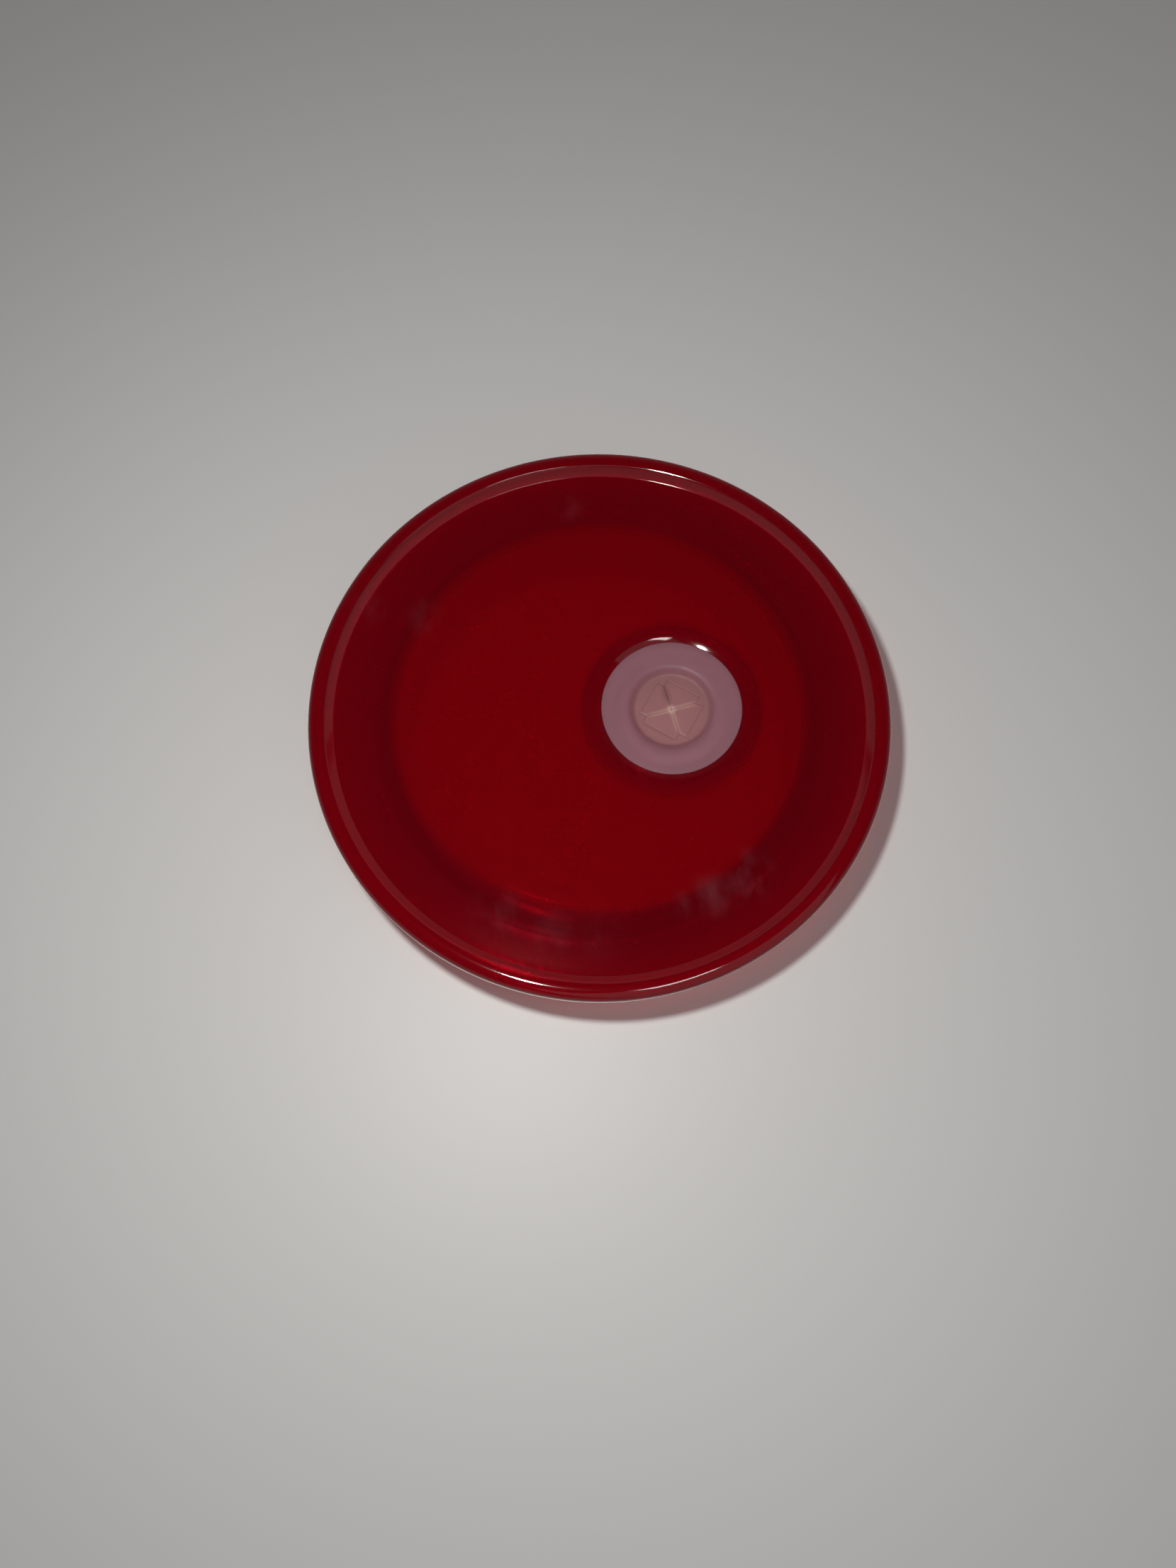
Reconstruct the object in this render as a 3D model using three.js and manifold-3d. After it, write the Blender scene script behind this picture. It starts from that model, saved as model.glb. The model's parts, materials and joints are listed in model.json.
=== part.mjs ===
// Straw lid for a drinking tumbler: a one-piece moulded lid with a flat top and
// a low raised rim round it. A plug ring stands down from the top and carries a
// silicone sealing ring in a groove. Beside the centre, a boss under the top
// holds a silicone grommet whose thin membrane is slit crosswise into four
// flaps.
//
// Units are millimetres. +Z is up. The origin is on the lid's axis, in the plane
// of the plug ring's foot, and the straw port stands off the axis towards +X.

import * as THREE from 'three';
import { mergeVertices } from 'three/addons/utils/BufferGeometryUtils.js';
import Module from 'manifold-3d';

const wasm = await Module();
wasm.setup();

// ---------------------------------------------------------------- dimensions

// lid shell
const RIM_R = 45.0;          // widest radius of the rim
const RIM_HIGH_Z = 18.0;     // crest of the raised rim
const TOP_Z = 16.4;          // flat top
const DISC_LOW_Z = 14.2;     // underside of the top, inside the plug ring
const FLANGE_SEAT_Z = 12.9;  // flat lower face of the thicker flange, which sits on the cup
const SEAT_R = 36.0;         // inner edge of that face, clear of the sealing ring
const PLUG_R = 32.7;         // outside of the plug ring near its foot
const PLUG_IN_R = 31.6;      // inside of the plug ring
const FOOT_IN_R = 31.0;      // inside of its thickened foot

// groove and sealing ring round the plug
const GROOVE_R = 33.1;       // bottom of the groove
const RIB_R = 34.6;          // ribs above and below the groove
const GROOVE_LOW_Z = 8.0;
const GROOVE_HIGH_Z = 10.8;
const RING_R = 35.55;        // outer lip of the sealing ring
const FIT_GAP = 0.3;         // clearance between neighbouring pieces

// straw port
const PORT_X = 11.3;         // the port's axis, along +X from the lid's axis
const BOSS_R = 13.8;         // outside of the boss under the top
const BOSS_LOW_Z = 9.5;
const BOSS_HOLLOW_R = 11.7;  // hollow in the lower end of the boss
const LEDGE_R = 9.3;         // hole in the ledge that carries the grommet
const LEDGE_LOW_Z = 11.55;
const LEDGE_HIGH_Z = 13.55;
const SOCKET_R = 11.3;       // recess that takes the grommet's head
const EDGE_ROUND = 0.7;      // rounding of the recess at the top

// grommet
const HEAD_R = SOCKET_R - FIT_GAP;
const NECK_R = LEDGE_R - FIT_GAP;
const LIP_R = 10.6;          // lip that snaps in under the ledge
const SLEEVE_R = 6.2;        // straw passage, and the round membrane across it
const GROMMET_LOW_Z = 9.85;
const HEAD_Z = 16.1;         // top of the grommet's head
const MEMBRANE_LOW_Z = 14.25;
const MEMBRANE_HIGH_Z = 15.05;

// flaps
const SLIT_ANGLE = 12.7;     // direction of the first slit, degrees from +X
const SLIT_GAP = 0.3;        // width of each slit
const HINGE_D = 3.5;         // bend line of each flap, from the port's axis
const HINGE_Z = (MEMBRANE_LOW_Z + MEMBRANE_HIGH_Z) / 2;
const FLAP_HALF = (MEMBRANE_HIGH_Z - MEMBRANE_LOW_Z) / 2;
const FLAP_SIDE = 2.8;       // half the width of a flap at its root
const OPENING_HALF = HINGE_D + FLAP_HALF + FIT_GAP;
const ARM_HALF = FLAP_SIDE + FIT_GAP;

// ------------------------------------------------------------------- helpers

// A closed indexed geometry with shared vertices and faces pointing out.
function closed(geometry) {
  const g = geometry.clone();
  g.deleteAttribute('normal');
  g.deleteAttribute('uv');
  const merged = mergeVertices(g, 1e-4);
  const index = merged.index.array;
  const p = merged.attributes.position;
  const keep = [];
  for (let i = 0; i < index.length; i += 3) {
    const [a, b, c] = [index[i], index[i + 1], index[i + 2]];
    if (a !== b && b !== c && c !== a) keep.push(a, b, c);
  }
  let volume = 0;
  const v = [new THREE.Vector3(), new THREE.Vector3(), new THREE.Vector3()];
  for (let i = 0; i < keep.length; i += 3) {
    for (let k = 0; k < 3; k++) v[k].fromBufferAttribute(p, keep[i + k]);
    volume += v[0].dot(v[1].clone().cross(v[2]));
  }
  if (volume < 0) {
    for (let i = 0; i < keep.length; i += 3) {
      [keep[i + 1], keep[i + 2]] = [keep[i + 2], keep[i + 1]];
    }
  }
  merged.setIndex(keep);
  return merged;
}

function solid(geometry) {
  const g = closed(geometry);
  return new wasm.Manifold(new wasm.Mesh({
    numProp: 3,
    vertProperties: new Float32Array(g.attributes.position.array),
    triVerts: new Uint32Array(g.index.array),
  }));
}

function geometryOf(manifold) {
  const mesh = manifold.getMesh();
  const g = new THREE.BufferGeometry();
  g.setAttribute('position', new THREE.BufferAttribute(new Float32Array(mesh.vertProperties), 3));
  g.setIndex(new THREE.BufferAttribute(new Uint32Array(mesh.triVerts), 1));
  g.computeVertexNormals();
  return g;
}

// A profile of [radius, height] pairs turned round the vertical axis.
function turned(profile, segments) {
  const points = profile.map(([r, z]) => new THREE.Vector2(r, z));
  return new THREE.LatheGeometry(points, segments).rotateX(Math.PI / 2);
}

// Points of a circular arc in a profile, both ends included.
function arc(cr, cz, radius, fromDeg, toDeg, steps) {
  const out = [];
  for (let i = 0; i <= steps; i++) {
    const a = THREE.MathUtils.degToRad(fromDeg + ((toDeg - fromDeg) * i) / steps);
    out.push([cr + radius * Math.cos(a), cz + radius * Math.sin(a)]);
  }
  return out;
}

// An upright prism with the given outline.
function prism(outline, lowZ, highZ) {
  const shape = new THREE.Shape(outline.map(([x, y]) => new THREE.Vector2(x, y)));
  const g = new THREE.ExtrudeGeometry(shape, { depth: highZ - lowZ, bevelEnabled: false });
  return g.translate(0, 0, lowZ);
}

// ----------------------------------------------------------------- materials

const redPlastic = new THREE.MeshStandardMaterial({
  name: 'red_plastic', color: 0xa00812, roughness: 0.08, metalness: 0.0,
  transparent: true, opacity: 0.85,
});
const paleSilicone = new THREE.MeshStandardMaterial({
  name: 'pale_silicone', color: 0xd9d3d6, roughness: 0.45, metalness: 0.0,
});
const flapSilicone = new THREE.MeshStandardMaterial({
  name: 'flap_silicone', color: 0xdccdca, roughness: 0.5, metalness: 0.0,
});
const ringSilicone = new THREE.MeshStandardMaterial({
  name: 'ring_silicone', color: 0xcfc8cb, roughness: 0.5, metalness: 0.0,
});

// ------------------------------------------------------------------ lid body

const shellProfile = [
  [0, DISC_LOW_Z],
  ...arc(PLUG_IN_R - 1.0, DISC_LOW_Z - 1.0, 1.0, 90, 0, 3),
  // foot of the plug ring
  [PLUG_IN_R, 1.9],
  [FOOT_IN_R + 0.2, 1.4],
  [FOOT_IN_R, 0.9],
  [FOOT_IN_R, 0.35],
  [FOOT_IN_R + 0.3, 0],
  [PLUG_R - 0.4, 0],
  [PLUG_R, 0.5],
  // outside of the plug ring, with two ribs and the groove between them
  [32.95, GROOVE_LOW_Z - 1.4],
  [RIB_R - 0.35, GROOVE_LOW_Z - 0.95],
  [RIB_R, GROOVE_LOW_Z - 0.6],
  [RIB_R, GROOVE_LOW_Z],
  [GROOVE_R, GROOVE_LOW_Z],
  [GROOVE_R, GROOVE_HIGH_Z],
  [RIB_R, GROOVE_HIGH_Z],
  [RIB_R, GROOVE_HIGH_Z + 0.6],
  [RIB_R - 0.5, GROOVE_HIGH_Z + 1.0],
  [33.55, 12.2],
  [33.75, 12.9],
  // relief beside the plug ring, then the seat under the flange
  [34.3, FLANGE_SEAT_Z + 0.4],
  [SEAT_R - 0.4, FLANGE_SEAT_Z + 0.4],
  [SEAT_R, FLANGE_SEAT_Z],
  [42.0, FLANGE_SEAT_Z],
  // outside of the rim
  [43.3, 13.15],
  [44.2, 13.8],
  [44.75, 14.8],
  [44.97, 15.8],
  [RIM_R, 16.6],
  [44.92, 17.1],
  [44.68, 17.5],
  [44.3, 17.78],
  // crown of the rim and its slope down to the top
  [43.95, RIM_HIGH_Z - 0.07],
  [43.5, RIM_HIGH_Z],
  [43.05, RIM_HIGH_Z - 0.02],
  [42.6, RIM_HIGH_Z - 0.16],
  [42.25, RIM_HIGH_Z - 0.42],
  [41.4, TOP_Z + 0.24],
  [41.1, TOP_Z + 0.05],
  [40.75, TOP_Z],
  [0, TOP_Z],
];

const bossProfile = [
  [0, BOSS_LOW_Z],
  [BOSS_R - 0.5, BOSS_LOW_Z],
  [BOSS_R - 0.05, BOSS_LOW_Z + 0.45],
  [BOSS_R + 0.1, DISC_LOW_Z - 0.8],
  [BOSS_R + 0.35, DISC_LOW_Z - 0.3],
  [BOSS_R + 0.9, DISC_LOW_Z],
  [BOSS_R + 0.9, DISC_LOW_Z + 0.8],
  [0, DISC_LOW_Z + 0.8],
];

const portCut = [
  [0, BOSS_LOW_Z - 1.0],
  [BOSS_HOLLOW_R, BOSS_LOW_Z - 1.0],
  [BOSS_HOLLOW_R, LEDGE_LOW_Z - 0.6],
  [BOSS_HOLLOW_R - 0.6, LEDGE_LOW_Z],
  [LEDGE_R, LEDGE_LOW_Z],
  [LEDGE_R, LEDGE_HIGH_Z],
  [SOCKET_R, LEDGE_HIGH_Z],
  ...arc(SOCKET_R + EDGE_ROUND, TOP_Z - EDGE_ROUND + 0.04, EDGE_ROUND, 180, 90, 5),
  [SOCKET_R + EDGE_ROUND, TOP_Z + 2.0],
  [0, TOP_Z + 2.0],
];

const shell = solid(turned(shellProfile, 60));
const boss = solid(turned(bossProfile, 44).translate(PORT_X, 0, 0));
const cut = solid(turned(portCut, 44).translate(PORT_X, 0, 0));
const lidBody = new THREE.Mesh(geometryOf(shell.add(boss).subtract(cut)), redPlastic);
lidBody.name = 'lid_body';

// -------------------------------------------------------------- sealing ring

const ringLow = GROOVE_LOW_Z + FIT_GAP;
const ringHigh = GROOVE_HIGH_Z - FIT_GAP;
const ringInner = GROOVE_R + FIT_GAP;
const ringMid = (ringLow + ringHigh) / 2;
const ringProfile = [
  [ringInner, ringLow],
  [RIB_R + 0.1, ringLow],
  [RING_R - 0.25, ringMid - 0.6],
  [RING_R, ringMid],
  [RING_R - 0.25, ringMid + 0.6],
  [RIB_R + 0.1, ringHigh],
  [ringInner, ringHigh],
  [ringInner, ringLow],
];
const perimeterGasket = new THREE.Mesh(closed(turned(ringProfile, 60)), ringSilicone);
perimeterGasket.geometry.computeVertexNormals();
perimeterGasket.name = 'perimeter_gasket';

// ------------------------------------------------------------------- grommet

const port = new THREE.Group();
port.position.set(PORT_X, 0, 0);
port.rotation.z = THREE.MathUtils.degToRad(SLIT_ANGLE + 45);

const headLow = LEDGE_HIGH_Z + FIT_GAP;
const lipHigh = LEDGE_LOW_Z - FIT_GAP;
const grommetProfile = [
  [0, MEMBRANE_LOW_Z],
  [SLEEVE_R, MEMBRANE_LOW_Z],
  [SLEEVE_R, GROMMET_LOW_Z + 0.5],
  [SLEEVE_R + 0.4, GROMMET_LOW_Z],
  [LIP_R - 0.9, GROMMET_LOW_Z],
  [LIP_R - 0.2, GROMMET_LOW_Z + 0.5],
  [LIP_R, GROMMET_LOW_Z + 0.9],
  [LIP_R - 0.15, lipHigh],
  [NECK_R, lipHigh],
  [NECK_R, headLow],
  [HEAD_R - 0.15, headLow],
  [HEAD_R, headLow + 0.25],
  [HEAD_R, HEAD_Z - 0.5],
  [HEAD_R - 0.2, HEAD_Z - 0.15],
  [HEAD_R - 0.7, HEAD_Z],
  [SLEEVE_R + 0.5, HEAD_Z - 0.25],
  [SLEEVE_R, HEAD_Z - 0.55],
  [SLEEVE_R, MEMBRANE_HIGH_Z],
  [0, MEMBRANE_HIGH_Z],
];
// the opening for the flaps is a cross, with one arm for the root of each flap
const h = OPENING_HALF;
const w = ARM_HALF;
const window_ = solid(prism([
  [h, -w], [h, w], [w, w], [w, h], [-w, h], [-w, w],
  [-h, w], [-h, -w], [-w, -w], [-w, -h], [w, -h], [w, -w],
], MEMBRANE_LOW_Z - 0.5, MEMBRANE_HIGH_Z + 0.5));
const grommet = solid(turned(grommetProfile, 44)).subtract(window_);
const sealGrommet = new THREE.Mesh(geometryOf(grommet), paleSilicone);
sealGrommet.name = 'seal_grommet';
port.add(sealGrommet);

// --------------------------------------------------------------------- flaps

// One flap points in from its bend line to the port's axis. Its outline is a
// right-angled wedge between two slits, with straight sides at the root so that
// neighbours stay apart when they turn. The root is rounded about the bend line
// so that the flap turns both ways inside the membrane's opening.
const reach = HINGE_D + FLAP_HALF + 0.5;
const s = SLIT_GAP / Math.SQRT2;
const wedge = solid(prism([
  [s, 0], [FLAP_SIDE + s, FLAP_SIDE], [reach, FLAP_SIDE],
  [reach, -FLAP_SIDE], [FLAP_SIDE + s, -FLAP_SIDE],
], HINGE_Z - 1, HINGE_Z + 1));
const side = new THREE.Shape();
side.moveTo(-0.5, -FLAP_HALF);
side.lineTo(HINGE_D, -FLAP_HALF);
for (let i = 1; i < 8; i++) {
  const a = -Math.PI / 2 + (Math.PI * i) / 8;
  side.lineTo(HINGE_D + FLAP_HALF * Math.cos(a), FLAP_HALF * Math.sin(a));
}
side.lineTo(HINGE_D, FLAP_HALF);
side.lineTo(-0.5, FLAP_HALF);
const slab = solid(new THREE.ExtrudeGeometry(side, { depth: 12, bevelEnabled: false })
  .translate(0, 0, -6).rotateX(Math.PI / 2).translate(0, 0, HINGE_Z));
const flapGeometry = geometryOf(slab.intersect(wedge));

for (let i = 0; i < 4; i++) {
  const flap = new THREE.Mesh(flapGeometry, flapSilicone);
  flap.name = `seal_flap_${i + 1}`;
  flap.rotation.z = (i * Math.PI) / 2;
  port.add(flap);
}

const lid = new THREE.Group();
lid.add(lidBody, perimeterGasket, port);

export default lid;
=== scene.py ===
import json
import math

import bmesh
import bpy
from mathutils import Matrix, Vector
from mathutils.geometry import delaunay_2d_cdt


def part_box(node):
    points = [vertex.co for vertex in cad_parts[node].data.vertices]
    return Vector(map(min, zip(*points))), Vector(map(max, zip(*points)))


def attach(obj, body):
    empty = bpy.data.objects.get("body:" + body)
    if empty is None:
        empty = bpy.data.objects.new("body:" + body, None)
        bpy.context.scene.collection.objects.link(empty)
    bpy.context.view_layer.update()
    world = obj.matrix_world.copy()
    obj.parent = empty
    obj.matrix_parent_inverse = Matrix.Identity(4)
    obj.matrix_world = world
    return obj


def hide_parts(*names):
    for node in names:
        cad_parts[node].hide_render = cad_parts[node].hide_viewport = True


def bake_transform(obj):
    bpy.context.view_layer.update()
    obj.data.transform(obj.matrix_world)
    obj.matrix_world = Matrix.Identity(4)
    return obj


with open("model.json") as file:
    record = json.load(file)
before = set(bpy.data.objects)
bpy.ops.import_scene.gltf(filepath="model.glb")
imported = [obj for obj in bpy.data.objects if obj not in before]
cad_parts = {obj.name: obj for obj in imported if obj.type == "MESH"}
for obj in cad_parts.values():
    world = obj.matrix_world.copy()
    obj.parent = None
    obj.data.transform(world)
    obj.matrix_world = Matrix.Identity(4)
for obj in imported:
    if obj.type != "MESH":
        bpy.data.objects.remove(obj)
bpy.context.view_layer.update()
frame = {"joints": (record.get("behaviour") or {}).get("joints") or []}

MM = 0.001

# ------------------------------------------------------------ places from CAD
# Everything below is in millimetres in the row frame. Main radii and heights
# come from the CAD nodes' boxes, so a piece sits where its CAD node sits.
body_lo, body_hi = (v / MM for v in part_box("lid_body"))
seal_lo, seal_hi = (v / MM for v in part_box("seal_grommet"))
ring_lo, ring_hi = (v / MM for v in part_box("perimeter_gasket"))

RIM_R = (body_hi.x - body_lo.x) / 2            # 45.0
RIM_HIGH = body_hi.z                           # 18.0
PORT = Vector(((seal_lo.x + seal_hi.x) / 2, 0, 0))
HEAD_R = (seal_hi.x - seal_lo.x) / 2           # 11.0
HEAD_Z = seal_hi.z                             # 16.1
SEAL_LOW = seal_lo.z                           # 9.85
RING_R = (ring_hi.x - ring_lo.x) / 2           # 35.55

RIM_Z = 16.7
TOP = 16.4
DISC_LOW = 14.2
FLANGE_SEAT = 12.9
BOSS_LOW = 9.5
LEDGE_LOW, LEDGE_HIGH = 11.55, 13.55
MEMBRANE_LOW, MEMBRANE_HIGH = 14.25, 15.05
HINGES = {j["child"]: j for j in frame["joints"]}


# -------------------------------------------------------------- mesh building
def smooth_path(corners, step=14.0):
    """Corners are (r, z, fillet radius). Returns the path with each corner rounded."""
    out = []
    n = len(corners)
    for i, (r, z, rad) in enumerate(corners):
        p = Vector((r, z))
        if rad <= 0 or i in (0, n - 1):
            out.append(p)
            continue
        a = Vector(corners[i - 1][:2]) - p
        b = Vector(corners[i + 1][:2]) - p
        la, lb = a.length, b.length
        a.normalize()
        b.normalize()
        half = math.acos(max(-1.0, min(1.0, a.dot(b)))) / 2
        if half > math.radians(89.5):
            out.append(p)
            continue
        cut = min(rad / math.tan(half), la * 0.499, lb * 0.499)
        rad = cut * math.tan(half)
        bis = (a + b).normalized()
        centre = p + bis * (rad / math.sin(half))
        s = p + a * cut - centre
        e = p + b * cut - centre
        ang = s.angle(e)
        side = 1 if s.x * e.y - s.y * e.x > 0 else -1
        k = max(2, math.ceil(math.degrees(ang) / step))
        for t in range(k + 1):
            w = side * ang * t / k
            c, d = math.cos(w), math.sin(w)
            out.append(centre + Vector((s.x * c - s.y * d, s.x * d + s.y * c)))
    clean = [out[0]]
    for p in out[1:]:
        if (p - clean[-1]).length > 1e-4:
            clean.append(p)
    return clean


def split_long(path, limit):
    """Adds points along the long straight stretches, so faces stay even."""
    out = [path[0]]
    for p in path[1:]:
        q = out[-1].copy()
        k = max(1, math.ceil((p - q).length / limit))
        for t in range(1, k + 1):
            out.append(q.lerp(p, t / k))
    return out


def rings(bm, path, centre, segments, angles=None):
    """One ring of vertices for each point of the path, about a vertical axis."""
    out = []
    angles = angles or [2 * math.pi * i / segments for i in range(segments)]
    for p in path:
        loop = []
        for a in angles:
            loop.append(bm.verts.new((centre.x + p.x * math.cos(a), centre.y + p.x * math.sin(a), p.y)))
        out.append(loop)
    return out


def skin(bm, loops, wrap=False):
    pairs = list(zip(loops, loops[1:]))
    if wrap:
        pairs.append((loops[-1], loops[0]))
    for a, b in pairs:
        n = len(a)
        for i in range(n):
            j = (i + 1) % n
            bm.faces.new((a[i], a[j], b[j], b[i]))


def flat_fill(bm, outer, inner, z, pitch):
    """Fills the flat space between two rings of vertices with even triangles."""
    pts = [v.co.to_2d() for v in outer] + [v.co.to_2d() for v in inner]
    n, m = len(outer), len(inner)
    edges = [(i, (i + 1) % n) for i in range(n)] + [(n + i, n + (i + 1) % m) for i in range(m)]
    co = sum((v.co.to_2d() for v in outer), Vector((0, 0))) / n
    ci = sum((v.co.to_2d() for v in inner), Vector((0, 0))) / m
    ro, ri = (outer[0].co.to_2d() - co).length, (inner[0].co.to_2d() - ci).length
    extra = []
    rows = int(ro / (pitch * 0.866)) + 1
    for j in range(-rows, rows + 1):
        for i in range(-rows, rows + 1):
            p = Vector(((i + 0.5 * (j % 2)) * pitch, j * pitch * 0.866)) + co
            if (p - co).length < ro - pitch * 0.7 and (p - ci).length > ri + pitch * 0.7:
                extra.append(p)
    verts = list(outer) + list(inner)
    res = delaunay_2d_cdt(pts + extra, edges, [], 0, 1e-6)
    made = {}
    for k, p in enumerate(res[0]):
        orig = [o for o in res[3][k] if o < n + m]
        made[k] = verts[orig[0]] if orig else bm.verts.new((p.x, p.y, z))
    for f in res[2]:
        c = sum((res[0][k] for k in f), Vector((0, 0))) / 3
        if (c - co).length < ro * 0.9999 and (c - ci).length > ri * 1.0001:
            if len({made[k] for k in f}) == 3:
                bm.faces.new([made[k] for k in f])


def to_object(bm, name, sharp=40.0):
    bmesh.ops.recalc_face_normals(bm, faces=bm.faces)
    if bm.calc_volume(signed=True) < 0:
        bmesh.ops.reverse_faces(bm, faces=bm.faces)
    loose = [v for v in bm.verts if not v.link_faces]
    bmesh.ops.delete(bm, geom=loose, context="VERTS")
    for f in bm.faces:
        f.smooth = True
    for e in bm.edges:
        e.smooth = len(e.link_faces) == 2 and e.calc_face_angle(0) < math.radians(sharp)
    mesh = bpy.data.meshes.new(name)
    bmesh.ops.scale(bm, vec=(MM, MM, MM), verts=bm.verts)
    bm.to_mesh(mesh)
    bm.free()
    obj = bpy.data.objects.new(name, mesh)
    bpy.context.scene.collection.objects.link(obj)
    return obj


# ------------------------------------------------------------------ lid shell
def lid_shell():
    bm = bmesh.new()
    around = 224
    outside = smooth_path([
        (29.2, DISC_LOW, 0),
        (29.8, DISC_LOW, 0),
        (31.6, DISC_LOW, 1.0),
        (31.6, 1.7, 0.5),
        (31.0, 1.2, 0.5),
        (31.0, 0, 0.35),
        (32.65, 0, 0.5),
        (32.92, 6.5, 0.8),
        (34.6, 7.0, 0.35),
        (34.6, 8.0, 0.18),
        (33.1, 8.0, 0.15),
        (33.1, 10.8, 0.15),
        (34.6, 10.8, 0.18),
        (34.6, 11.75, 0.35),
        (33.58, 12.0, 0.4),
        (33.8, 13.3, 0.6),
        (35.55, 13.3, 0.2),
        (36.0, FLANGE_SEAT, 0.2),
        (42.0, FLANGE_SEAT, 0),
        (44.25, FLANGE_SEAT, 1.9),
        (RIM_R, 15.6, 3.0),
        (RIM_R, 17.62, 0.95),
        (43.55, RIM_HIGH + 0.03, 3.2),
        (42.42, RIM_HIGH - 0.10, 0.75),
        (41.25, TOP, 0.35),
        (40.2, TOP, 0),
        (38.4, TOP, 0),
    ], step=8.0)
    lid_rings = rings(bm, split_long(outside, 1.9), Vector((0, 0, 0)), around)
    skin(bm, lid_rings)
    port = smooth_path([
        (14.2, TOP, 0),
        (13.2, TOP, 0),
        (12.1, TOP, 2.4),
        (10.95, TOP - 0.41, 0.2),
        (HEAD_R - 0.3, 15.5, 0.3),
        (HEAD_R - 0.3, LEDGE_HIGH, 0.2),
        (9.15, LEDGE_HIGH, 0.25),
        (9.15, LEDGE_LOW, 0.25),
        (11.7, LEDGE_LOW, 0.6),
        (11.75, BOSS_LOW, 0.3),
        (13.75, BOSS_LOW, 0.5),
        (13.9, DISC_LOW, 0.9),
        (15.2, DISC_LOW, 0),
        (15.6, DISC_LOW, 0),
    ], step=8.0)
    port_rings = rings(bm, split_long(port, 1.7), PORT, 144)
    skin(bm, port_rings)
    flat_fill(bm, lid_rings[-1], port_rings[0], TOP, 2.6)
    flat_fill(bm, lid_rings[0], port_rings[-1], DISC_LOW, 2.6)
    return to_object(bm, "lid_shell")


# --------------------------------------------------------------- sealing ring
def sealing_ring():
    bm = bmesh.new()
    low, high = 8.06, 10.74
    mid = (low + high) / 2
    path = smooth_path([
        (33.16, mid, 0),
        (33.16, low, 0.2),
        (34.75, low, 0.25),
        (34.85, mid - 0.75, 0.12),
        (RING_R, mid - 0.5, 0.28),
        (RING_R, mid - 0.06, 0.2),
        (35.0, mid, 0.12),
        (RING_R, mid + 0.06, 0.2),
        (RING_R, mid + 0.5, 0.28),
        (34.85, mid + 0.75, 0.12),
        (34.75, high, 0.25),
        (33.16, high, 0.2),
        (33.16, mid, 0),
    ], step=15.0)[:-1]
    skin(bm, rings(bm, path, Vector((0, 0, 0)), 224), wrap=True)
    return to_object(bm, "sealing_ring")


# -------------------------------------------------------------------- grommet
TURN = math.atan2(HINGES["flap_1"]["pos_m"][1], HINGES["flap_1"]["pos_m"][0] - PORT.x * MM)
BEND_D = math.hypot(HINGES["flap_1"]["pos_m"][1], HINGES["flap_1"]["pos_m"][0] - PORT.x * MM) / MM
WINDOW = BEND_D + 0.5
FLAP_SIDE = 2.915
ARM = 2.90
SLEEVE_R = 6.2


def window_angles():
    """Angles round the port that meet every corner of the cross-shaped window."""
    corner = math.atan2(ARM, WINDOW)
    out = []
    for q in range(4):
        mid = TURN + q * math.pi / 2
        for k in range(5):
            out.append(mid - math.pi / 4 + (math.pi / 4 - corner) * k / 5)
        for k in range(31):
            out.append(mid - corner + 2 * corner * k / 31)
        for k in range(5):
            out.append(mid + corner + (math.pi / 4 - corner) * k / 5)
    return out


def window_point(angle):
    """Where a ray from the port's axis meets the window."""
    a = abs((angle - TURN + math.pi / 4) % (math.pi / 2) - math.pi / 4)
    if a <= math.atan2(ARM, WINDOW) + 1e-9:
        return WINDOW / math.cos(a)
    return ARM / math.sin(a)


def grommet():
    bm = bmesh.new()
    angles = window_angles()
    body = smooth_path([
        (SLEEVE_R, MEMBRANE_LOW, 0.22),
        (SLEEVE_R, SEAL_LOW, 0.5),
        (10.0, SEAL_LOW, 0.5),
        (10.6, SEAL_LOW + 1.4, 0.3),
        (9.1, LEDGE_LOW - 0.06, 0.15),
        (9.1, LEDGE_HIGH + 0.08, 0.15),
        (HEAD_R - 0.35, LEDGE_HIGH + 0.08, 0.25),
        (HEAD_R - 0.35, 15.6, 0.2),
        (HEAD_R, 15.93, 0.1),
        (HEAD_R - 0.08, HEAD_Z, 0.2),
        (10.2, HEAD_Z, 0.6),
        (SLEEVE_R + 0.55, HEAD_Z - 0.1, 1.3),
        (SLEEVE_R - 0.35, MEMBRANE_HIGH, 0.8),
        (5.2, MEMBRANE_HIGH, 0),
    ], step=12.0)
    # the sleeve's lower end starts on the membrane's underside
    start = smooth_path([(5.2, MEMBRANE_LOW, 0), (SLEEVE_R, MEMBRANE_LOW, 0.2), (SLEEVE_R, SEAL_LOW + 2, 0)], step=15.0)
    body = start[:-1] + split_long(body[1:], 1.2)
    loops = rings(bm, body, PORT, 0, angles)
    skin(bm, loops)
    # the membrane's rim, from the round sleeve to the window
    def squared(z, share):
        loop = []
        for a in angles:
            r = 5.2 * (1 - share) + window_point(a) * share
            loop.append(bm.verts.new((PORT.x + r * math.cos(a), PORT.y + r * math.sin(a), z)))
        return loop
    top = [loops[-1]] + [squared(MEMBRANE_HIGH, s) for s in (0.35, 0.7, 0.93)]
    edge = [squared(MEMBRANE_HIGH - 0.03, 1.0), squared(MEMBRANE_LOW + 0.03, 1.0)]
    low = [squared(MEMBRANE_LOW, s) for s in (0.93, 0.7, 0.35)] + [loops[0]]
    skin(bm, top + edge + low)
    return to_object(bm, "grommet_seal", sharp=50)


# ---------------------------------------------------------------------- flaps
SLIT = 0.04


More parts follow.
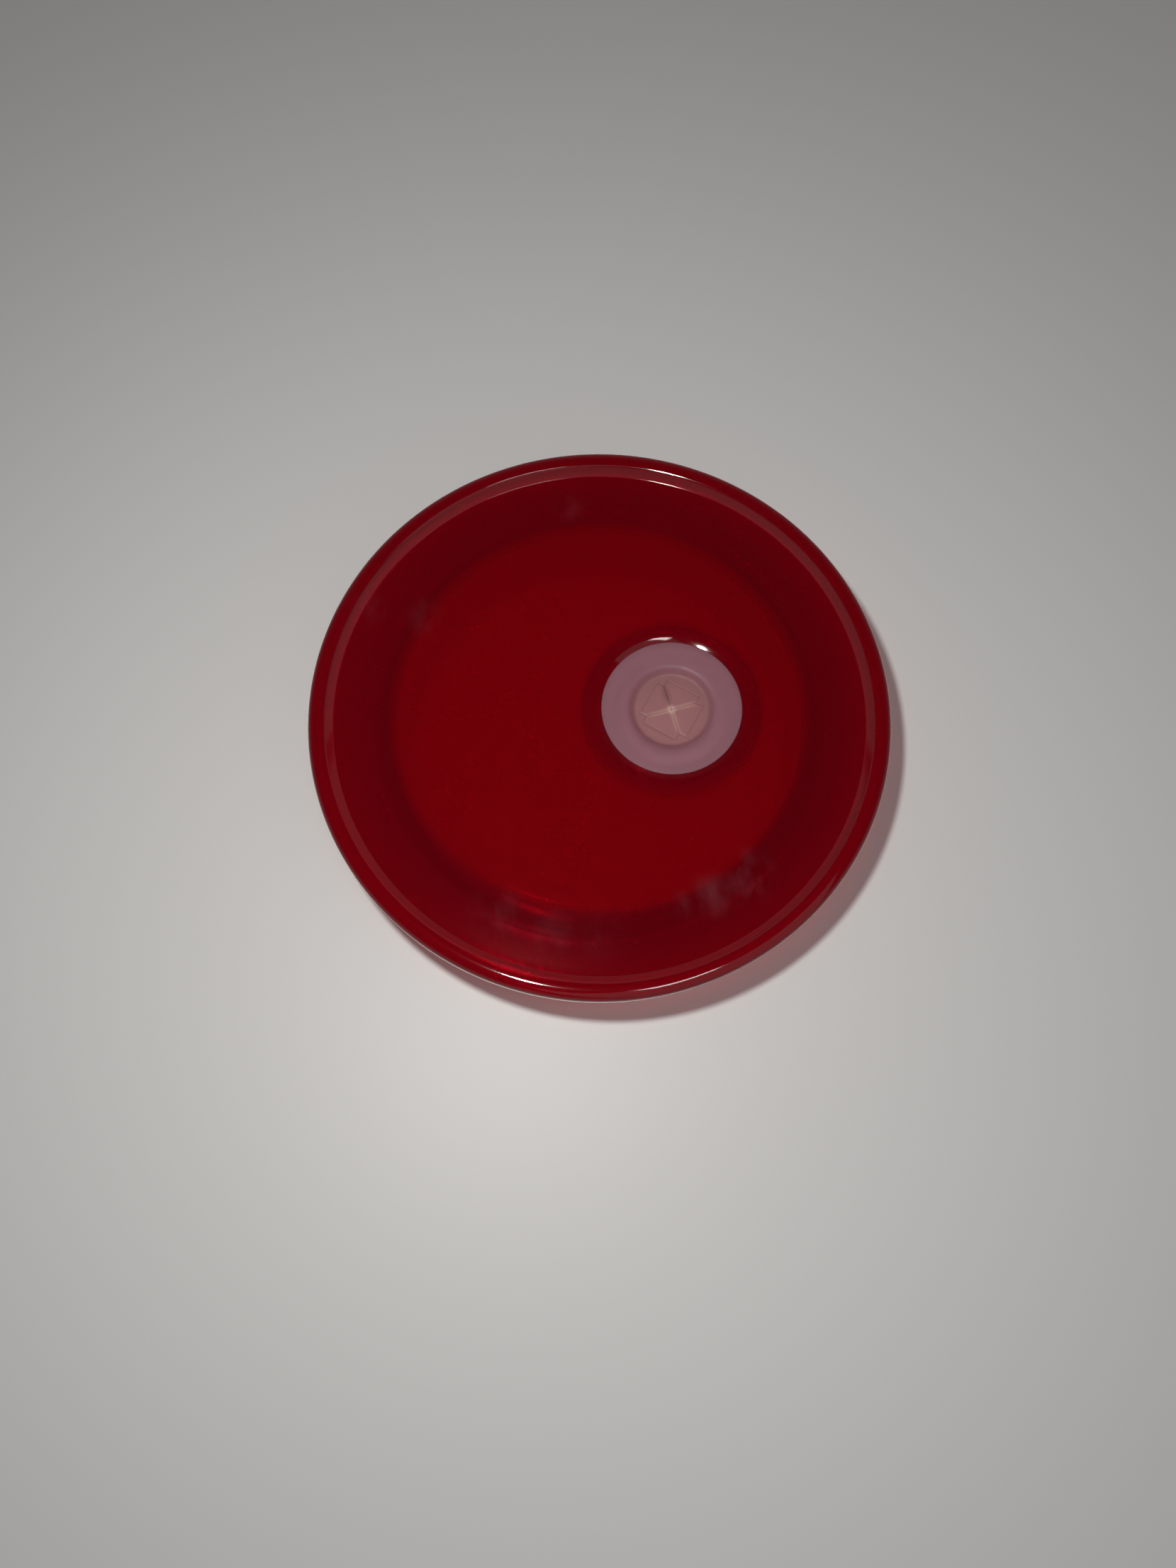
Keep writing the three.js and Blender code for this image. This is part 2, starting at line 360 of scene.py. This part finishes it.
def flap_skin(i):
    """A quarter of the membrane: a thin wedge whose root runs into the grommet."""
    bm = bmesh.new()
    a0 = TURN + i * math.pi / 2
    out = Vector((math.cos(a0), math.sin(a0), 0))
    side = Vector((-math.sin(a0), math.cos(a0), 0))
    mid = (MEMBRANE_LOW + MEMBRANE_HIGH) / 2
    half = (MEMBRANE_HIGH - MEMBRANE_LOW) / 2
    s = SLIT / math.sqrt(2)
    # rows from the root to the tip; each row runs across the flap
    depths = [WINDOW + 0.22, WINDOW + 0.06, WINDOW - 0.04] + [
        WINDOW - 0.04 - (WINDOW - 0.04 - s - 0.05) * t / 22 for t in range(1, 23)]
    cols = 16

    def row(d, grow, height):
        w = min(max(d - s, 0.004), FLAP_SIDE) - grow
        w = max(w, 0.003)
        return [out * d + side * (w * (2 * c / cols - 1)) + Vector((PORT.x, PORT.y, mid + height)) for c in range(cols + 1)]

    def layer(d):
        """Half thickness at depth d: a little thinner inside the grommet."""
        return half - 0.03 if d > WINDOW else half - 0.004

    grid = []
    for d in depths:
        t = layer(d)
        b = 0.02
        top = row(d, b, t)
        up = row(d, 0, t - b)
        dn = row(d, 0, -t + b)
        bot = row(d, b, -t)
        loop = [bm.verts.new(p) for p in top] + [bm.verts.new(up[-1])] + [bm.verts.new(dn[-1])] + [
            bm.verts.new(p) for p in reversed(bot)] + [bm.verts.new(dn[0])] + [bm.verts.new(up[0])]
        grid.append(loop)
    skin(bm, grid)
    bm.faces.new(grid[0])
    bm.faces.new(list(reversed(grid[-1])))
    obj = to_object(bm, f"flap_skin_{i + 1}", sharp=50)
    start = (out * (BEND_D + 0.42) + Vector((PORT.x, PORT.y, mid))) * MM
    end = (out * (BEND_D - 0.42) + Vector((PORT.x, PORT.y, mid))) * MM
    return obj, start, end


# ------------------------------------------------------------------ materials
def new_material(name):
    m = bpy.data.materials.new(name)
    m.use_nodes = True
    nt = m.node_tree
    for n in list(nt.nodes):
        nt.nodes.remove(n)
    out = nt.nodes.new("ShaderNodeOutputMaterial")
    bsdf = nt.nodes.new("ShaderNodeBsdfPrincipled")
    return m, nt, out, bsdf


def noise(nt, scale, detail=3.0, rough=0.5, stretch=None):
    tc = nt.nodes.new("ShaderNodeTexCoord")
    n = nt.nodes.new("ShaderNodeTexNoise")
    n.inputs["Scale"].default_value = scale
    n.inputs["Detail"].default_value = detail
    n.inputs["Roughness"].default_value = rough
    if stretch:
        mp = nt.nodes.new("ShaderNodeMapping")
        mp.inputs["Scale"].default_value = stretch
        nt.links.new(tc.outputs["Object"], mp.inputs["Vector"])
        nt.links.new(mp.outputs["Vector"], n.inputs["Vector"])
    else:
        nt.links.new(tc.outputs["Object"], n.inputs["Vector"])
    return n.outputs["Fac"]


def ramp(nt, fac, stops):
    r = nt.nodes.new("ShaderNodeValToRGB")
    e = r.color_ramp.elements
    while len(e) < len(stops):
        e.new(0.5)
    for k, (pos, col) in enumerate(stops):
        e[k].position = pos
        e[k].color = col if len(col) == 4 else (*col, 1)
    nt.links.new(fac, r.inputs["Fac"])
    return r.outputs["Color"]


def grey(v):
    return (v, v, v, 1)


def value(nt, op, a, b=None):
    n = nt.nodes.new("ShaderNodeMath")
    n.operation = op
    for k, v in enumerate((a, b)):
        if v is None:
            continue
        if isinstance(v, (int, float)):
            n.inputs[k].default_value = v
        else:
            nt.links.new(v, n.inputs[k])
    return n.outputs[0]


def blend_colour(nt, fac, a, b):
    n = nt.nodes.new("ShaderNodeMix")
    n.data_type = "RGBA"
    if isinstance(fac, (int, float)):
        n.inputs["Factor"].default_value = fac
    else:
        nt.links.new(fac, n.inputs["Factor"])
    for name, v in (("A", a), ("B", b)):
        sock = [i for i in n.inputs if i.name == name and i.type == "RGBA"][0]
        if isinstance(v, tuple):
            sock.default_value = v if len(v) == 4 else (*v, 1)
        else:
            nt.links.new(v, sock)
    return [o for o in n.outputs if o.type == "RGBA"][0]


def lamp_light(nt, out, p, colour):
    """Lamps reach what is under a see-through piece."""
    clear = nt.nodes.new("ShaderNodeBsdfTransparent")
    clear.inputs["Color"].default_value = (*colour, 1)
    path = nt.nodes.new("ShaderNodeLightPath")
    mix = nt.nodes.new("ShaderNodeMixShader")
    nt.links.new(path.outputs["Is Shadow Ray"], mix.inputs["Fac"])
    nt.links.new(p.outputs["BSDF"], mix.inputs[1])
    nt.links.new(clear.outputs["BSDF"], mix.inputs[2])
    nt.links.new(mix.outputs["Shader"], out.inputs["Surface"])


def near(nt, centre, reach):
    """1 at a place on the piece, falling to 0 at the given distance (metres)."""
    tc = nt.nodes.new("ShaderNodeTexCoord")
    d = nt.nodes.new("ShaderNodeVectorMath")
    d.operation = "DISTANCE"
    nt.links.new(tc.outputs["Object"], d.inputs[0])
    d.inputs[1].default_value = centre
    r = nt.nodes.new("ShaderNodeMapRange")
    r.interpolation_type = "SMOOTHSTEP"
    nt.links.new(d.outputs["Value"], r.inputs["Value"])
    r.inputs["From Min"].default_value = reach
    r.inputs["From Max"].default_value = 0.0
    return r.outputs["Result"]


def from_port(nt):
    """Distance from the port's axis (metres)."""
    tc = nt.nodes.new("ShaderNodeTexCoord")
    d = nt.nodes.new("ShaderNodeVectorMath")
    d.operation = "SUBTRACT"
    nt.links.new(tc.outputs["Object"], d.inputs[0])
    d.inputs[1].default_value = PORT * MM
    flat = nt.nodes.new("ShaderNodeVectorMath")
    flat.operation = "MULTIPLY"
    nt.links.new(d.outputs["Vector"], flat.inputs[0])
    flat.inputs[1].default_value = (1, 1, 0)
    size = nt.nodes.new("ShaderNodeVectorMath")
    size.operation = "LENGTH"
    nt.links.new(flat.outputs["Vector"], size.inputs[0])
    return size.outputs["Value"]


def red_plastic():
    m, nt, out, p = new_material("red_plastic")
    p.inputs["Transmission Weight"].default_value = 0.64
    p.inputs["IOR"].default_value = 1.5
    p.inputs["Coat Weight"].default_value = 1.0
    p.inputs["Coat Roughness"].default_value = 0.06
    p.inputs["Coat IOR"].default_value = 1.5
    p.inputs["Specular IOR Level"].default_value = 0.1
    p.inputs["Specular Tint"].default_value = (0.01, 0.0, 0.0, 1)
    # dried smudges on the flange, and fine dust
    cloud = ramp(nt, noise(nt, 300.0, 3.0, 0.5, (1.0, 0.55, 1.0)), [(0.40, grey(0)), (0.72, grey(1))])
    speck = ramp(nt, noise(nt, 1300.0, 2.0, 0.5), [(0.70, grey(0)), (0.76, grey(1))])
    places = None
    for x, y, reach, share in MARKS:
        here = value(nt, "MULTIPLY", near(nt, (x * MM, y * MM, TOP * MM), reach * MM), share)
        places = here if places is None else value(nt, "MAXIMUM", places, here)
    marks = value(nt, "MULTIPLY", cloud, places)
    marks = value(nt, "ADD", marks, value(nt, "MULTIPLY", speck, 0.03))
    marks = value(nt, "MINIMUM", marks, 1.0)
    # the flange is thicker than the top inside the plug ring, so it looks deeper red; on top of that, painted shade
    # darkens the band over the plug wall and sealing ring beneath, and painted light makes it lighter towards the rim
    tc = nt.nodes.new("ShaderNodeTexCoord")
    flat = nt.nodes.new("ShaderNodeVectorMath")
    flat.operation = "MULTIPLY"
    nt.links.new(tc.outputs["Object"], flat.inputs[0])
    flat.inputs[1].default_value = (1, 1, 0)
    size = nt.nodes.new("ShaderNodeVectorMath")
    size.operation = "LENGTH"
    nt.links.new(flat.outputs["Vector"], size.inputs[0])
    body = ramp(nt, value(nt, "MULTIPLY", size.outputs["Value"], 1 / (50 * MM)), [
        (31.4 / 50, PLASTIC), (33.0 / 50, SHADED_THICK), (36.5 / 50, SHADED_THICK), (40.9 / 50, SLOPE), (42.4 / 50, SLOPE), (43.4 / 50, RIM_RED)])
    # painted shade: the boss under the top is shown as a darker ring painted round the port
    boss = ramp(nt, value(nt, "MULTIPLY", from_port(nt), 1 / (20 * MM)), [
        (11.6 / 20, grey(0.75)), (13.4 / 20, grey(0.75)), (14.6 / 20, grey(0.0))])
    body = blend_colour(nt, boss, body, SHADED_THICK)
    nt.links.new(blend_colour(nt, marks, body, (0.42, 0.085, 0.11)), p.inputs["Base Color"])
    smudge = noise(nt, 55.0, 4.0, 0.6)
    rough = ramp(nt, smudge, [(0.35, grey(0.26)), (0.60, grey(0.29)), (0.78, grey(0.33))])
    nt.links.new(rough, p.inputs["Roughness"])
    bump = nt.nodes.new("ShaderNodeBump")
    bump.inputs["Strength"].default_value = 0.04
    bump.inputs["Distance"].default_value = 0.00003
    nt.links.new(noise(nt, 900.0, 4.0, 0.6), bump.inputs["Height"])
    wave = nt.nodes.new("ShaderNodeBump")
    wave.inputs["Strength"].default_value = 0.12
    wave.inputs["Distance"].default_value = 0.0001
    nt.links.new(noise(nt, 45.0, 1.0, 0.4), wave.inputs["Height"])
    nt.links.new(wave.outputs["Normal"], bump.inputs["Normal"])
    nt.links.new(bump.outputs["Normal"], p.inputs["Normal"])
    nt.links.new(wave.outputs["Normal"], p.inputs["Coat Normal"])
    lamp_light(nt, out, p, (0.26, 0.004, 0.015))
    return m


# base reds by radius: the darkest one carries painted shade over the plug wall and sealing ring under the flange, and
# the two outer ones are lighter with painted light from under the flange edge
PLASTIC = (0.395, 0.0002, 0.007, 1)
SHADED_THICK = (0.275, 0.0002, 0.009, 1)
RIM_RED = (0.35, 0.0002, 0.009, 1)
SLOPE = (0.31, 0.0002, 0.008, 1)
# dried smudges on the top: x, y, reach (mm) and strength
MARKS = [(20.5, -27.6, 5.5, 0.75), (15.2, -30.0, 4.8, 0.65), (10.5, -31.3, 3.0, 0.4),
         (-16.8, -31.2, 5.5, 0.3), (-8.5, -34.3, 5.0, 0.22), (-2.0, -35.0, 5.0, 0.2),
         (-27.0, 17.0, 4.5, 0.3), (-3.0, 35.5, 3.5, 0.3), (-36.0, 20.0, 5.0, 0.2)]


def fade(nt, v, none, full):
    """0 at the first distance, rising smoothly to 1 at the second."""
    r = nt.nodes.new("ShaderNodeMapRange")
    r.interpolation_type = "SMOOTHSTEP"
    nt.links.new(v, r.inputs["Value"])
    r.inputs["From Min"].default_value = none
    r.inputs["From Max"].default_value = full
    return r.outputs["Result"]


def slit_light_and_shade(nt):
    """Painted light along three slits of the membrane, painted shade along the fourth, and a painted highlight where
    they cross.
    """
    tc = nt.nodes.new("ShaderNodeTexCoord")
    mp = nt.nodes.new("ShaderNodeMapping")
    mp.vector_type = "TEXTURE"
    mp.inputs["Location"].default_value = PORT * MM
    mp.inputs["Rotation"].default_value = (0, 0, TURN + math.pi / 4)
    nt.links.new(tc.outputs["Object"], mp.inputs["Vector"])
    sep = nt.nodes.new("ShaderNodeSeparateXYZ")
    nt.links.new(mp.outputs["Vector"], sep.inputs["Vector"])
    ax = value(nt, "ABSOLUTE", sep.outputs["X"])
    ay = value(nt, "ABSOLUTE", sep.outputs["Y"])
    d = value(nt, "MINIMUM", ax, ay)
    r = nt.nodes.new("ShaderNodeMapRange")
    r.interpolation_type = "SMOOTHSTEP"
    nt.links.new(d, r.inputs["Value"])
    r.inputs["From Min"].default_value = 0.00062
    r.inputs["From Max"].default_value = 0.00004
    away = from_port(nt)
    # one of the four slits gets painted shade instead of painted light, and its mark is wider
    shade = value(nt, "MULTIPLY", value(nt, "GREATER_THAN", sep.outputs["X"], 0.0007),
                  value(nt, "LESS_THAN", ay, ax))
    light = value(nt, "MULTIPLY", r.outputs["Result"], fade(nt, away, 0.0050, 0.0026))
    light = value(nt, "MULTIPLY", light, value(nt, "SUBTRACT", 1.0, shade))
    dark = value(nt, "MULTIPLY", fade(nt, ay, 0.00085, 0.0001), fade(nt, away, 0.0049, 0.0032))
    dark = value(nt, "MULTIPLY", value(nt, "MULTIPLY", dark, fade(nt, away, 0.0007, 0.0022)), shade)
    crossing_highlight = fade(nt, away, 0.0010, 0.0002)
    return light, dark, crossing_highlight


def silicone(name, colour, transmission, roughness, centre=None, lamp=0.5):
    m, nt, out, p = new_material(name)
    tint = noise(nt, 260.0, 3.0, 0.55)
    lo = tuple(c * 0.95 for c in colour)
    col = ramp(nt, tint, [(0.35, lo), (0.65, colour)])
    if centre:
        part = ramp(nt, value(nt, "MULTIPLY", from_port(nt), 1 / (10 * MM)), [(0.585, grey(1)), (0.64, grey(0))])
        col = blend_colour(nt, part, col, (*centre, 1))
    light, dark, crossing_highlight = slit_light_and_shade(nt)
    # painted light along three slits, painted shade along the fourth, and a painted highlight where the slits cross
    col = blend_colour(nt, value(nt, "MULTIPLY", light, 0.50), col, (0.80, 0.56, 0.47, 1))
    col = blend_colour(nt, value(nt, "MULTIPLY", dark, 0.60), col, (0.30, 0.12, 0.12, 1))
    col = blend_colour(nt, value(nt, "MULTIPLY", crossing_highlight, 0.65), col, (0.90, 0.70, 0.62, 1))
    nt.links.new(col, p.inputs["Base Color"])
    p.inputs["Transmission Weight"].default_value = transmission
    p.inputs["IOR"].default_value = 1.41
    rough = ramp(nt, noise(nt, 700.0, 3.0, 0.6), [(0.3, grey(roughness - 0.06)), (0.7, grey(roughness + 0.08))])
    nt.links.new(rough, p.inputs["Roughness"])
    bump = nt.nodes.new("ShaderNodeBump")
    bump.inputs["Strength"].default_value = 0.3
    bump.inputs["Distance"].default_value = 0.00004
    nt.links.new(noise(nt, 2400.0, 3.0, 0.6), bump.inputs["Height"])
    nt.links.new(bump.outputs["Normal"], p.inputs["Normal"])
    lamp_light(nt, out, p, (lamp, lamp, lamp))
    return m


def dress(obj, mat, body, node):
    obj.data.materials.append(mat)
    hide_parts(node)
    if body:
        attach(obj, body)


red = red_plastic()
# the pink-mauve base colours of the grommet and flaps are painted red light: the pale silicone is tinted as if lit
# through and from the red plastic around it
milky = silicone("pale_silicone", (0.49, 0.225, 0.28), 0.60, 0.50, centre=(0.50, 0.235, 0.245))
thin = silicone("flap_silicone", (0.50, 0.235, 0.245), 0.60, 0.50, lamp=0.6)
seal = silicone("ring_silicone", (0.62, 0.42, 0.50), 0.60, 0.50)

shell = lid_shell()
dress(shell, red, "lid", "lid_body")
gasket = sealing_ring()
dress(gasket, seal, "lid", "perimeter_gasket")
plug = grommet()
dress(plug, milky, "lid", "seal_grommet")
for i in range(4):
    flap, start, end = flap_skin(i)
    dress(flap, thin, None, f"seal_flap_{i + 1}")
    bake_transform(flap)

# -------------------------------------------------------------- stage, lights
R0 = RIM_R * MM
VIEW_TURN = math.radians(-2.9)
turn = Matrix.Rotation(VIEW_TURN, 4, "Z")
RIM_CENTRE = Vector((0, 0, RIM_Z * MM))


def place(x, y, z):
    """A point given in rim radii from the rim's centre, in the camera's azimuth."""
    return RIM_CENTRE + turn @ (Vector((x, y, z)) * R0)


mesh = bpy.data.meshes.new("stage_floor")
fl = bmesh.new()
bmesh.ops.create_grid(fl, x_segments=1, y_segments=1, size=1.5)
fl.to_mesh(mesh)
fl.free()
floor = bpy.data.objects.new("stage_floor", mesh)
floor.location = (0, 0, -0.00015)
bpy.context.scene.collection.objects.link(floor)
fm, fnt, fout, fp = new_material("stage_pale")
fp.inputs["Base Color"].default_value = (0.80, 0.79, 0.77, 1)
fp.inputs["Roughness"].default_value = 0.46
fnt.links.new(fp.outputs["BSDF"], fout.inputs["Surface"])
mesh.materials.append(fm)


def area(name, where, aim, size, size_y, energy, colour=(1, 1, 1), shape="RECTANGLE"):
    d = bpy.data.lights.new(name, "AREA")
    d.shape = shape
    d.size = size
    d.size_y = size_y
    d.energy = energy
    d.color = colour
    o = bpy.data.objects.new(name, d)
    o.location = where
    o.rotation_euler = (Vector(aim) - Vector(where)).to_track_quat("-Z", "Y").to_euler()
    bpy.context.scene.collection.objects.link(o)
    return o


area("key_small", place(-0.567, -0.736, 4.017), (0, 0, 0), 0.012, 0.012, 0.205, (1.0, 0.985, 0.96), "DISK")
area("strip", place(3.4, -3.9, 21.3), (0, 0, 0), 0.16, 0.08, 0.55, (1.0, 0.99, 0.97))
area("soft_front", place(8.0, -11.0, 18.0), (0, 0, 0), 0.9, 0.9, 0.8, (1.0, 1.0, 1.0))

# a soft studio surround: pale low down, dark straight above
world = bpy.data.worlds.new("studio")
bpy.context.scene.world = world
world.use_nodes = True
wt = world.node_tree
bg = wt.nodes["Background"]
tc = wt.nodes.new("ShaderNodeTexCoord")
sep = wt.nodes.new("ShaderNodeSeparateXYZ")
wt.links.new(tc.outputs["Generated"], sep.inputs["Vector"])
sky = ramp(wt, sep.outputs["Z"], [(0.0, grey(0.29)), (0.36, grey(0.29)), (0.55, (0.09, 0.09, 0.10)), (0.80, (0.012, 0.012, 0.02))])
# it is paler on the viewer's side
side = ramp(wt, value(wt, "ADD", value(wt, "MULTIPLY", sep.outputs["Y"], 0.5), 0.5), [(0.35, grey(1.0)), (0.70, grey(0.7))])
tone = blend_colour(wt, side, (0, 0, 0), sky)
wt.links.new(tone, bg.inputs["Color"])
bg.inputs["Strength"].default_value = 1.0

bpy.context.scene.view_settings.view_transform = "Standard"
bpy.context.scene.view_settings.look = "None"

# --------------------------------------------------------------------- camera
# The rim's centre and the downward normal, as the camera sees them (x right,
# y down, z forward, in rim radii), give the camera's place.
n = Vector((0.002, 0.296, 0.955)).normalized()
p_c = Vector((0.039, -0.258, 4.054))
ex = (Vector((1, 0, 0)) - n * n.x).normalized()
ez = -n
ey = ez.cross(ex)
to_world = Matrix((ex, ey, ez))
right = turn.to_3x3() @ (to_world @ Vector((1, 0, 0)))
down = turn.to_3x3() @ (to_world @ Vector((0, 1, 0)))
forward = turn.to_3x3() @ (to_world @ Vector((0, 0, 1)))
eye = RIM_CENTRE - (right * p_c.x + down * p_c.y + forward * p_c.z) * R0
cam_data = bpy.data.cameras.new("camera")
cam_data.sensor_fit = "AUTO"
cam_data.sensor_width = 36.0
cam_data.lens = 27.03
cam_data.clip_start = 0.005
cam_data.clip_end = 20
cam = bpy.data.objects.new("camera", cam_data)
rot = Matrix((right, -down, -forward)).transposed().to_4x4()
cam.matrix_world = Matrix.Translation(eye) @ rot
bpy.context.scene.collection.objects.link(cam)
bpy.context.scene.camera = cam
